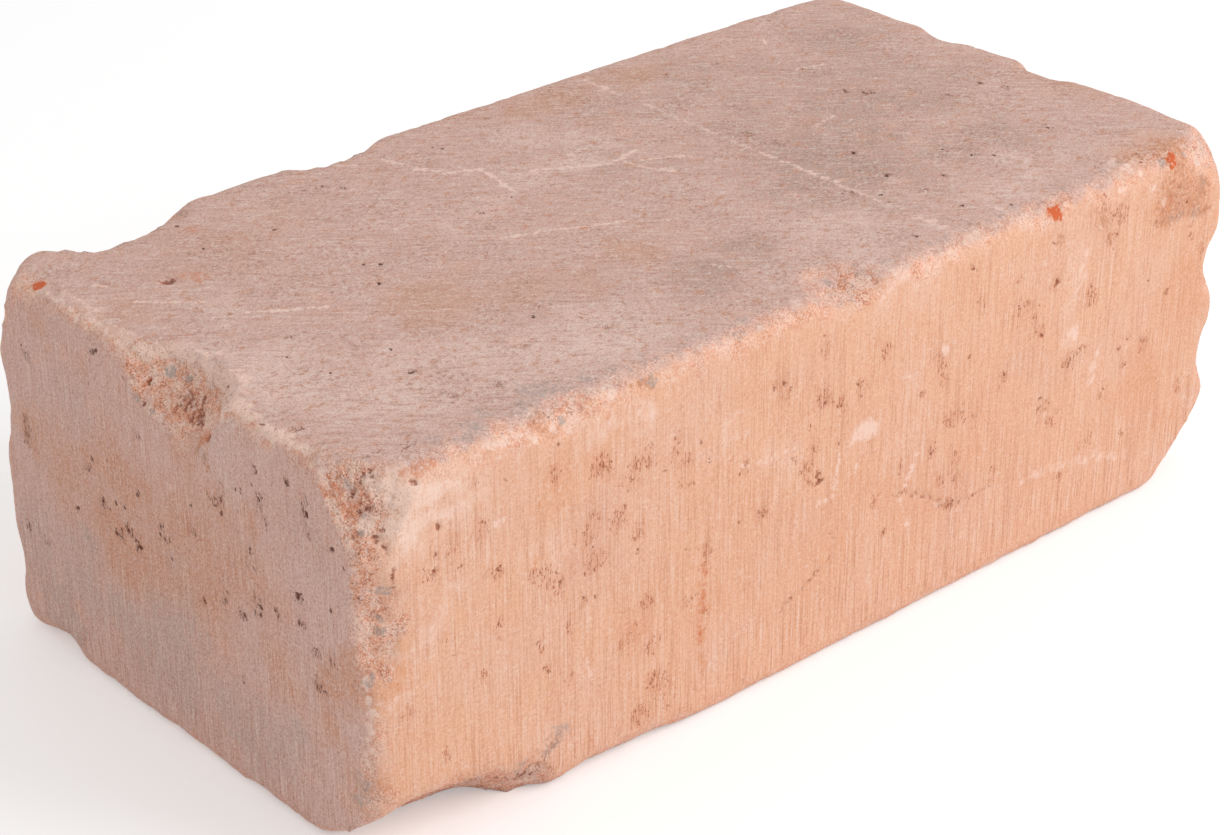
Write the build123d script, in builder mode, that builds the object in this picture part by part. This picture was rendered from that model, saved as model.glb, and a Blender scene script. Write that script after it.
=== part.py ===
# A tumbled concrete garden wall block, moulded in one piece: X runs along the block, Y from its
# front face to its back and Z up from its lower bed. Tumbling has worn every arris unevenly,
# knocked the corners off and broken chips out of the arrises.
import os
from math import exp, sin, sqrt

from build123d import *

# Size as moulded, in mm
block_length = 290.0
block_width = 150.0
block_height = 100.0

# Wear along the arrises
facet_pitch = 12.0  # spacing of the facets along a worn arris
wear_swing = 0.35  # how far a setback strays from its mean, as a share of it
wear_depth = 0.36  # depth of the worn profile: 0.29 is a round, 0.5 a flat chamfer, more a hollow
corner_growth = 0.8  # extra setback at the end of an arris, as a share of its mean
corner_fade = 12.0  # distance from a corner over which the extra setback fades
long_wave = 5.3  # the two waves that make a setback stray along its arris, in mm to the radian
short_wave = 2.9
chip_depth = 0.54  # depth of a chip's profile, on the scale of the worn one
chip_stations = (-0.6, 0.0, 0.6)  # where a chip is shaped, as shares of its run from the deepest
cut_margin = 4.0  # how far a cutter stands out of the faces that it crosses

# Each arris by the faces that it joins (-1 left, front or bottom, 1 right, back or top, 0 the axis
# that it runs along), with its mean setback along the two axes that cross it, in X, Y, Z order
arrises = {
    "top_front": ((0, -1, 1), (4.0, 5.0)),
    "top_back": ((0, 1, 1), (3.0, 4.0)),
    "bottom_front": ((0, -1, -1), (2.0, 2.5)),
    "bottom_back": ((0, 1, -1), (4.0, 4.0)),
    "top_left": ((-1, 0, 1), (4.5, 2.5)),
    "top_right": ((1, 0, 1), (3.5, 4.0)),
    "bottom_left": ((-1, 0, -1), (2.5, 2.5)),
    "bottom_right": ((1, 0, -1), (4.0, 4.0)),
    "front_left": ((-1, -1, 0), (4.0, 3.5)),
    "front_right": ((1, -1, 0), (2.5, 3.0)),
    "back_left": ((-1, 1, 0), (3.5, 4.0)),
    "back_right": ((1, 1, 0), (4.5, 4.5)),
}

# Each broken corner by its three faces, with the length of each arris that went with it, X, Y, Z
broken_corners = {
    "front_left_top": ((-1, -1, 1), (17.0, 20.0, 28.0)),
    "front_left_bottom": ((-1, -1, -1), (30.0, 26.0, 13.0)),
    "front_right_top": ((1, -1, 1), (32.0, 11.0, 17.0)),
    "front_right_bottom": ((1, -1, -1), (24.0, 15.0, 24.0)),
    "back_left_top": ((-1, 1, 1), (15.0, 13.0, 34.0)),
    "back_left_bottom": ((-1, 1, -1), (10.0, 12.0, 9.0)),
    "back_right_top": ((1, 1, 1), (13.0, 12.0, 12.0)),
    "back_right_bottom": ((1, 1, -1), (14.0, 16.0, 12.0)),
}

# Each chip by its arris, the place of its deepest point along it (from the left, front or lower end,
# or from the other end where negative), its run before and after that place, and how far it reaches
# along the two faces there, in X, Y, Z order
chips = [
    ("top_front", 57.0, 14.0, 10.0, 6.0, 8.0),
    ("top_front", 145.0, 11.0, 16.0, 16.0, 6.0),
    ("top_left", 67.0, 17.0, 27.0, 12.0, 17.0),
    ("top_back", 28.0, 12.0, 34.0, 14.0, 10.0),
    ("top_back", 98.0, 9.0, 24.0, 9.0, 7.0),
    ("top_right", 63.0, 12.0, 10.0, 8.0, 8.0),
    ("top_right", 98.0, 8.0, 14.0, 7.0, 6.0),
    ("front_left", 66.0, 20.0, 16.0, 9.0, 6.0),
    ("front_right", 61.0, 9.0, 12.0, 8.0, 6.0),
    ("front_right", 36.0, 12.0, 10.0, 6.0, 6.0),
    ("back_left", 18.0, 8.0, 12.0, 5.0, 6.0),
    ("back_left", 66.0, 20.0, 14.0, 6.0, 7.0),
    ("back_right", 55.0, 16.0, 10.0, 9.0, 10.0),
    ("bottom_front", 12.0, 30.0, 38.0, 22.0, 18.0),
    ("bottom_front", 43.0, 12.0, 9.0, 8.0, 13.0),
    ("bottom_front", 64.0, 18.0, 38.0, 5.0, 5.0),
    ("bottom_left", -22.0, 9.0, 16.0, 6.0, 7.0),
    ("bottom_back", 76.0, 22.0, 14.0, 9.0, 10.0),
    ("bottom_back", -62.0, 12.0, 18.0, 8.0, 8.0),
    ("bottom_right", -58.0, 18.0, 12.0, 8.0, 10.0),
]

half_sizes = (block_length / 2, block_width / 2, block_height / 2)
unit_axes = (Vector(1, 0, 0), Vector(0, 1, 0), Vector(0, 0, 1))


def place_on_block(faces):
    """Point at the middle of a face, an arris or a corner, given by the faces that meet there."""
    middle = Vector(0, 0, block_height / 2)
    for face, half_size, axis in zip(faces, half_sizes, unit_axes):
        middle += axis * (face * half_size)
    return middle


def arris_run(faces):
    """Length of an arris."""
    return 2 * half_sizes[faces.index(0)]


def arris_plane(faces, along):
    """Plane across an arris at a distance from its left, front or lower end. Its x and y run into
    the block along the two faces."""
    run_axis = unit_axes[faces.index(0)]
    first, second = (axis * -face for face, axis in zip(faces, unit_axes) if face)
    origin = place_on_block(faces) + run_axis * (along - arris_run(faces) / 2)
    return Plane(origin=origin, x_dir=first, z_dir=first.cross(second))


def cut_profile(plane, first, second, depth):
    """Section of what an arris lost: it crosses the two faces at their setbacks, and its depth is a
    share of both setbacks."""
    flare = (1 - depth) / depth * cut_margin
    with BuildSketch(plane) as profile:
        with BuildLine():
            Polyline(
                (-cut_margin, -cut_margin),
                (first + flare * first / second, -cut_margin),
                (depth * first, depth * second),
                (-cut_margin, second + flare * second / first),
                close=True,
            )
        make_face()
    return profile.sketch


def worn_setbacks(arris, along):
    """Setbacks of a worn arris on its two faces, at a distance from its left, front or lower end."""
    faces, means = arrises[arris]
    phase = list(arrises).index(arris)
    to_corner = max(0.0, min(along, arris_run(faces) - along))
    growth = 1 + corner_growth * exp(-to_corner / corner_fade)
    setbacks = []
    for side, mean in enumerate(means):
        stray = sin(along / long_wave + 2 * phase + side) + sin(along / short_wave + 5 * phase - side)
        setbacks.append(mean * (growth + wear_swing * stray / 2))
    return setbacks


def worn_arris(arris):
    """What tumbling took off one arris, as a run of facets."""
    faces = arrises[arris][0]
    run = arris_run(faces) + 2 * cut_margin
    facets = max(2, round(run / facet_pitch))
    sections = []
    for station in range(facets + 1):
        along = station * run / facets - cut_margin
        first, second = worn_setbacks(arris, along)
        sections.append(cut_profile(arris_plane(faces, along), first, second, wear_depth))
    with BuildPart() as worn:
        loft(sections, ruled=True)
    return worn.part


def arris_chip(arris, place, before, after, first_reach, second_reach):
    """A chip out of an arris, rounded from both its ends on the arris to its deepest place."""
    faces = arrises[arris][0]
    along = place if place > 0 else arris_run(faces) + place
    sections = [Vertex(arris_plane(faces, along - before).origin)]
    for station in chip_stations:
        plane = arris_plane(faces, along + station * (before if station < 0 else after))
        roundness = sqrt(1 - station**2)
        sections.append(cut_profile(plane, roundness * first_reach, roundness * second_reach, chip_depth))
    sections.append(Vertex(arris_plane(faces, along + after).origin))
    with BuildPart() as chip:
        loft(sections, ruled=True)
    return chip.part


def break_plane(faces, runs):
    """Plane of a broken corner, through the three points where the break meets its arrises."""
    corner = place_on_block(faces)
    outward = Vector(0, 0, 0)
    for face, run, axis in zip(faces, runs, unit_axes):
        outward += axis * (face / run)
    return Plane(origin=corner - unit_axes[0] * (faces[0] * runs[0]), z_dir=outward)


worn_away = [worn_arris(arris) for arris in arrises]
chipped_off = [arris_chip(*chip) for chip in chips]

with BuildPart() as wall_block:
    with BuildSketch():
        Rectangle(block_length, block_width)
    extrude(amount=block_height)
    for faces, runs in broken_corners.values():
        split(bisect_by=break_plane(faces, runs), keep=Keep.BOTTOM)
    add(worn_away + chipped_off, mode=Mode.SUBTRACT)

wall_block.part.label = "wall_block"
os.makedirs("parts", exist_ok=True)
export_step(wall_block.part, "parts/wall_block.step")
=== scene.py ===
import math
import random

import bmesh
import bpy
from mathutils import Matrix, Vector, noise
from mathutils.bvhtree import BVHTree
from mathutils.kdtree import KDTree


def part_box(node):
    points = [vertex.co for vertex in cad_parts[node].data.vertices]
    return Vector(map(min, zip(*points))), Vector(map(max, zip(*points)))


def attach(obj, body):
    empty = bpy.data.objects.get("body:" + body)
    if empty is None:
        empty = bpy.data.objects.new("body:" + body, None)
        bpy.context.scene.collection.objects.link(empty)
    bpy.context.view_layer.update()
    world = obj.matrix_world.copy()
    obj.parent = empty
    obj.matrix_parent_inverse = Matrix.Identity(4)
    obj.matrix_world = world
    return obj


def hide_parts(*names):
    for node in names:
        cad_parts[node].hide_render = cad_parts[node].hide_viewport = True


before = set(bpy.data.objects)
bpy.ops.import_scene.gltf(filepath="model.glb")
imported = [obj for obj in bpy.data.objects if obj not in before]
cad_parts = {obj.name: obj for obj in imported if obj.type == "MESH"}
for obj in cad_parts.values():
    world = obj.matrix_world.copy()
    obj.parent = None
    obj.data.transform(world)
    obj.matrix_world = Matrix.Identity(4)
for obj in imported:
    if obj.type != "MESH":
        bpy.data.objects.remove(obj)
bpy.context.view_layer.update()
boxLow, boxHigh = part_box("wall_block")
boxCentre = (boxLow + boxHigh) / 2
boxHalf = (boxHigh - boxLow) / 2
mm = 0.001
print("frame loaded, block", [round(side / mm) for side in boxHigh - boxLow], "mm")

# The block's grid, its relief and the layers that its material reads, sizes in mm
block = {
    "seed": 7,
    "gridPitch": 4.0,  # squares on the moulded faces, halved where there is relief
    "coreInset": 30.0,  # vertices move towards a core this far inside the block
    "arrisBand": 7.0,  # band along each arris that gets small squares and is rounded
    "roundPasses": 16,
    "roundFactor": 0.5,
    "offFace": 0.05,  # deeper than this is wear
    "breakDepth": 2.0,  # deeper than this is a break, with the smallest squares
    "fineRadius": 2.0,  # dabs under this are fine marks
    "markMargins": (2.5, 0.9),  # squares this near a fine mark are halved twice, and this near once more
    "clusterMargin": 5.0,  # squares this near a cluster of pits are halved once
    "lumpDepth": (0.25, 0.7),  # on the worn arrises and in the breaks
    "grainSize": 2.4,
    "grainMiddle": 0.45,
    "grainDepth": (0.10, 0.5),
    "creviceDepth": 0.25,
    # how dark the crevices in the breaks are painted: painted shade
    "creviceShade": 0.4,
    "nibbleDepth": 0.4,  # small bites along the edges of the worn arrises
    "nibbleBare": 0.12,
    "outermost": -0.9,  # share of a vertex's depth by which relief may stand out
    # noise as size, fade, octaves and offset
    "waves": {
        "shift": (4.5, 0.8, 4, (0, 0, 0)),  # sways the borders of the layers
        "patches": (9.0, 0.8, 3, (0, 0, 0)),
        "blotch": (22.0, 0.9, 3, (0, 0, 0)),
        "flaky": (13.0, 0.8, 3, (6, 1, 14)),
        "mottle": (4.0, 0.8, 3, (3, 8, 1)),
        "ash": (4.6, 0.8, 3, (17, 2, 6)),
        "lumps": (7.0, 0.7, 4, (0, 0, 0)),
        "crevice": (6.0, 0.8, 3, (9, 4, 22)),
        "nibbles": (6.0, 0.8, 3, (31, 7, 13)),
    },
    # the depth at which a layer is bare, the one at which it is full, and how much the shift sways it
    "borders": {
        "bed": (1.2, -1.4, 2.4),  # depth under the beds, less that under the other faces
        "end": (0.5, -0.7, 0.8),  # the same for the ends
        "deepBreak": (1.8, 3.0, 0.8),
        "markedBreak": (0.1, 0.6, 0.15),
        "powderAndPaintedLight": (0.0, 0.4, 0.15),
        "worn": (0.05, 0.9, 0.5),
        "low": (30.0, 8.0, 0.0),  # height above the floor
        "relief": (0.1, 1.2, 0.0),
        "nibbles": (11.0, 3.0, 0.0),
    },
    # noise at which a layer is bare and full
    "spans": {
        "worn": (-0.35, 0.35),
        "dragged": (-0.3, 0.3),
        "blotch": (-0.4, 0.5),
        "flaky": (-0.1, 0.35),
        "mottle": (-0.4, 0.4),
        "ash": (0.15, 0.45),
        "crevice": (0.07, 0.02),
        "creviced": (0.0, 0.3),  # patches that have crevices
        "zone": (0.25, 0.75),  # strength of the marks round a break
    },
    "zoneSway": 0.25,
    "wornShares": (0.35, 0.65),  # everywhere, and more in patches
    "draggedShares": (0.36, 0.26, 0.28),  # everywhere, more in patches and more near the floor
    "flakyShares": (0.25, 0.75),
    # dabs of a stroke, as shares of its width or strength
    "dabStep": 0.3,
    "leastSteps": 3,
    "dabRadius": (0.4, 1.25),
    "dabLevel": (0.65, 1.1),
    "stray": 0.18,
    "spotStray": 0.12,  # the same for a single spot
    "crackDepth": 0.25,
    "crackWidth": 3.0,  # mm, a crack under this width is sunk
    "dabCore": 0.35,  # full inside this share of the radius
    "dabReach": 1.5,
    "rags": (0.6, 0.6, 0.4),  # raggedness, and its size as a share of the radius and in mm
    # dabs of a cluster, as shares of its spread
    "clusterDabs": 4,
    "clusterStray": (0.5, 0.9),
    "clusterRadius": (0.5, 1.1),
    "clusterRim": 0.9,  # mm
    "clusterLevel": (0.4, 1.0),
    # dabs of a pit, as shares of its width
    "pitDabs": 3,
    "pitStray": (0.22, 0.4),
    "pitRadius": (0.28, 0.45),
    "pitLevel": (0.8, 1.3),
    "pitDepth": 0.3,
    # marks on each face that the photograph doesn't show: how many, how far out, their sizes and strengths
    "hidden": {
        "clusters": (30, (0.88, 0.82), (0.6, 4.0)),
        "pits": (30, (0.88, 0.82), (0.8, 1.6)),
        "scuffs": (9, (0.8, 0.7), (0.8, 3.5), (0.5, 0.9)),
        "scuffRun": (9, 5),
        "tones": (14, (0.9, 0.8), (16, 46), (0.4, 0.9)),
    },
}

# Parts that are full of fine pits as (across, up, spread), in mm from the middle of the lower bed
pitClusters = {
    "front": [
        (-125.5, 83.5, 0.4), (-127, 73, 4.5), (-113, 78, 3), (-110, 66, 2), (-99, 63, 1.5),
        (-93, 57, 4), (-85, 64, 4), (-81, 58, 3.5), (-68, 58, 2.5), (-93, 82, 2.5),
        (-67, 78, 4), (-56, 76, 3.5), (-51, 71, 3), (-74, 73, 5), (-22, 84, 3),
        (-9, 88, 2.5), (-8, 71, 3), (3, 73, 4), (-35, 66, 2), (-18, 61, 2),
        (-10, 53, 3.5), (-45, 46, 3.5), (-30, 49, 2), (-84, 49, 1.5), (-67, 37, 3.5),
        (-64, 30, 2.5), (-51, 35, 2), (-46.5, 29.5, 1), (-125, 25, 1.5), (-64, 13, 5),
        (-31, 30, 2.5), (34, 69, 4), (62, 74, 3), (75, 77, 2), (69, 67, 3), (90, 69, 2.5),
        (99, 87, 4), (93, 92, 2.5), (40, 52, 3), (48, 49, 3), (57, 57, 1.5), (27, 63, 1),
        (86, 54, 3.5), (74, 45, 2.5), (78, 38, 2.5), (115, 50, 2.5), (106, 44, 1),
        (42, 30, 4), (94, 27, 2), (108, 22, 1), (83, 18, 1), (131, 29, 1.5), (135, 69, 2.5),
        (12, 79, 2), (47, 81, 2), (-124, 55, 2), (-109, 53, 2), (-98, 43, 1.5), (-135, 42, 1.5),
        (-65, 79, 1.5), (-54, 72, 1.5), (-2, 70, 1.5), (-90, 43.5, 1.2), (-73, 33, 1.2),
        (-96, 34.5, 1), (-89, 30, 1), (-114.5, 42, 1.2), (-115.5, 91, 1), (61.5, 75, 1),
        (70.5, 65, 1.2), (60.5, 82.5, 1), (43, 91.5, 1.2), (20.5, 45, 1), (31, 44.5, 1.2),
        (103, 49.5, 1), (107, 52.5, 1), (97, 38, 1), (130, 74, 1.2), (121.5, 60.5, 1),
        (11, 38, 1.2), (15, 28, 1), (35.5, 36, 1.2), (55, 29, 1), (89.5, 70, 1), (89.5, 93, 1),
    ],
    "left": [
        (28, 94, 0.6), (56, 83, 2.5), (12, 63, 0.6), (27, 54, 2), (22, 47, 1.2), (18, 50, 1.8),
        (14, 48, 0.8), (40, 47, 0.5), (3, 56, 1.5), (-12, 44, 1.2), (-21, 50, 1.5),
        (-28, 49, 1.2), (-34, 53, 1.6), (-49, 63, 1.6), (-51, 56, 1.2), (-61, 53, 1.8),
        (-54, 85, 2), (-63.5, 81, 0.8), (-48, 91, 1), (-37, 82, 2.5), (-22, 75, 2.5),
        (-32, 66, 1.5), (-10, 62, 1.6), (64, 32, 1.2), (57, 30, 1.6), (-55, 45, 3),
        (33, 61, 1), (62, 58, 3), (11, 79, 0.8), (-27, 31, 1.2), (-42, 55, 1), (-58, 48, 1),
        (31, 64, 0.8),
    ],
    "top": [
        (-18.5, 57, 0.8), (-81, 43, 0.5), (-74, 10, 0.5), (-140, -44, 1), (-138, -18, 0.8),
        (-104, -40, 0.8), (-105, -54, 1.2), (-37, -43, 1.2), (-66, -36, 0.6), (56, -34, 0.7),
        (59, -18, 0.7), (89, 14, 0.6), (93, 9, 2), (40, -36, 1.6), (78, -32, 0.5), (49, 1, 1),
        (60, 54, 1), (33, -64, 0.5), (120, -7, 1.2), (107, -6, 1.5), (82, -40, 0.5),
        (41, 36, 0.6), (110, -40, 1), (-53, 52, 1), (-93, -57, 1), (88.5, 13.5, 0.6),
        (123.5, -13.5, 0.8), (66, -43.5, 0.5), (47.5, 8.5, 0.8), (77, 51, 0.6), (55, -47.5, 0.5),
        (103.5, -29, 0.6), (42, -8, 0.5), (3, 63.5, 0.8), (-114, -7.5, 0.5), (-120, -15, 0.5),
        (-76, -2, 0.5), (-57, -52, 0.5), (-37.5, 16.5, 0.6), (-13.5, 11, 0.5),
    ],
}

# Single dark pits as (across, up, width)
pits = {
    "front": [
        (-109.5, 66.5, 1.2), (-91.5, 55.5, 1.4), (-60, 73, 0.9), (-81, 48.5, 1.2), (-84.5, 49.5, 1),
        (-53, 49.5, 0.9), (-46, 71, 1), (-106.5, 88.5, 1), (-81.5, 61.5, 1), (-84, 55.5, 1),
        (-68, 55.5, 1.2), (-91.5, 91.5, 1.2), (-48.5, 76, 1), (-56, 77, 1), (-22, 82.5, 1.6),
        (-25, 82, 1.2), (-8, 72, 1.2), (-2.5, 69.5, 1), (3.5, 73.5, 1.2), (26.5, 63, 1.2), (-9.5, 53, 2.2),
        (-18.5, 61, 1.2), (-2.5, 59.5, 0.9), (-34, 65, 0.9), (31, 44.5, 1.2), (19.5, 42.5, 1),
        (15, 28, 1.2), (-29, 49, 1), (-36, 49.5, 0.8), (-4.5, 35, 1), (75.5, 77, 1.5), (43, 91.5, 1.1),
        (61.5, 75.5, 1.2), (69.5, 73, 1.2), (71, 64.5, 1.4), (83, 51.5, 1.1), (43.5, 67, 0.9),
        (57.5, 57.5, 1.1), (73, 45.5, 1.3), (107, 43.5, 1), (103.5, 49.5, 1), (114, 48, 1.2),
        (123, 60.5, 1.1), (113.5, 66, 1), (97.5, 80, 1.1), (73.5, 89, 1.2), (98.5, 39, 1), (130.5, 27.5, 1),
        (87, 55, 1), (-125.5, 83.5, 1.8), (-126.5, 77, 1.2), (-127, 73.5, 1.6),
    ],
    "left": [
        (40, 47, 1.5), (28, 54, 1.2), (25, 53, 1), (22, 55.5, 1.2), (18.5, 56, 1), (23, 48.5, 1.2),
        (23, 47, 1.4), (21, 50, 1), (18, 50, 1.2), (16.5, 50, 1.4), (15, 49, 1.5), (13.5, 47.5, 2),
        (4, 55.5, 1.1), (2.5, 54.5, 1.4), (0, 50.5, 1.1), (-10, 69, 0.9), (-11, 61.5, 1), (-22, 75, 1.1),
        (-21.5, 72, 1), (-28, 81, 0.8), (-30, 81.5, 1), (-37, 81.5, 1.2), (-48, 90, 1.2),
        (-12.5, 44.5, 1.5), (-21, 48.5, 1.3), (-22, 51.5, 1), (-28.5, 48.5, 1.4), (-34.5, 53.5, 1.6),
        (-35, 52, 1.4), (-32.5, 53.5, 1), (-40.5, 55, 1), (-49.5, 56, 1.2), (-49.5, 63, 2.4),
        (-51.5, 63, 1.2), (-67, 77.5, 0.9), (-61.5, 64.5, 0.9), (29.5, 84.5, 0.8), (26.5, 94, 1.8),
        (12, 63, 1), (-32.5, 67.5, 1.2), (-33, 63, 1.1), (-54.5, 86, 1.5), (-63.5, 81, 1.8), (31, 64, 0.8),
        (24.5, 66.5, 0.8), (-22.5, 79.5, 0.9), (-34.5, 84.5, 0.9),
    ],
    "top": [
        (55, -34.5, 1.7), (59.5, -18, 1.6), (91.5, 9.5, 1.2), (93, 8, 1.2), (88.5, 13, 1.1),
        (120.5, -7.5, 1.3), (124, -14, 1), (78, -32, 1), (81, -39.5, 1), (110, -40.5, 1.2),
        (38.5, -34.5, 1), (40.5, -36.5, 1.1), (44.5, -41.5, 0.9), (33, -64.5, 1.2), (54.5, -59.5, 1),
        (65.5, -44, 1), (64.5, -68, 0.9), (85, -43, 0.9), (-20, 57, 1.1), (-18, 55.5, 1.1),
        (-57, 55.5, 1.1), (-53, 52, 1), (-81, 43, 1.2), (-66, -36.5, 1.2), (-77.5, 12, 0.9), (-74, 9.5, 1),
        (-81, 1.5, 1), (-25.5, 19.5, 0.8), (-100.5, 45.5, 0.9), (-98, 60, 0.9), (-37, 16.5, 1),
        (-113.5, -7.5, 0.9), (-120.5, -15.5, 1), (-100.5, -28, 0.9), (-104, -40, 1.3), (-127, -60.5, 0.9),
        (-118, -28, 0.8),
    ],
}

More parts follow.
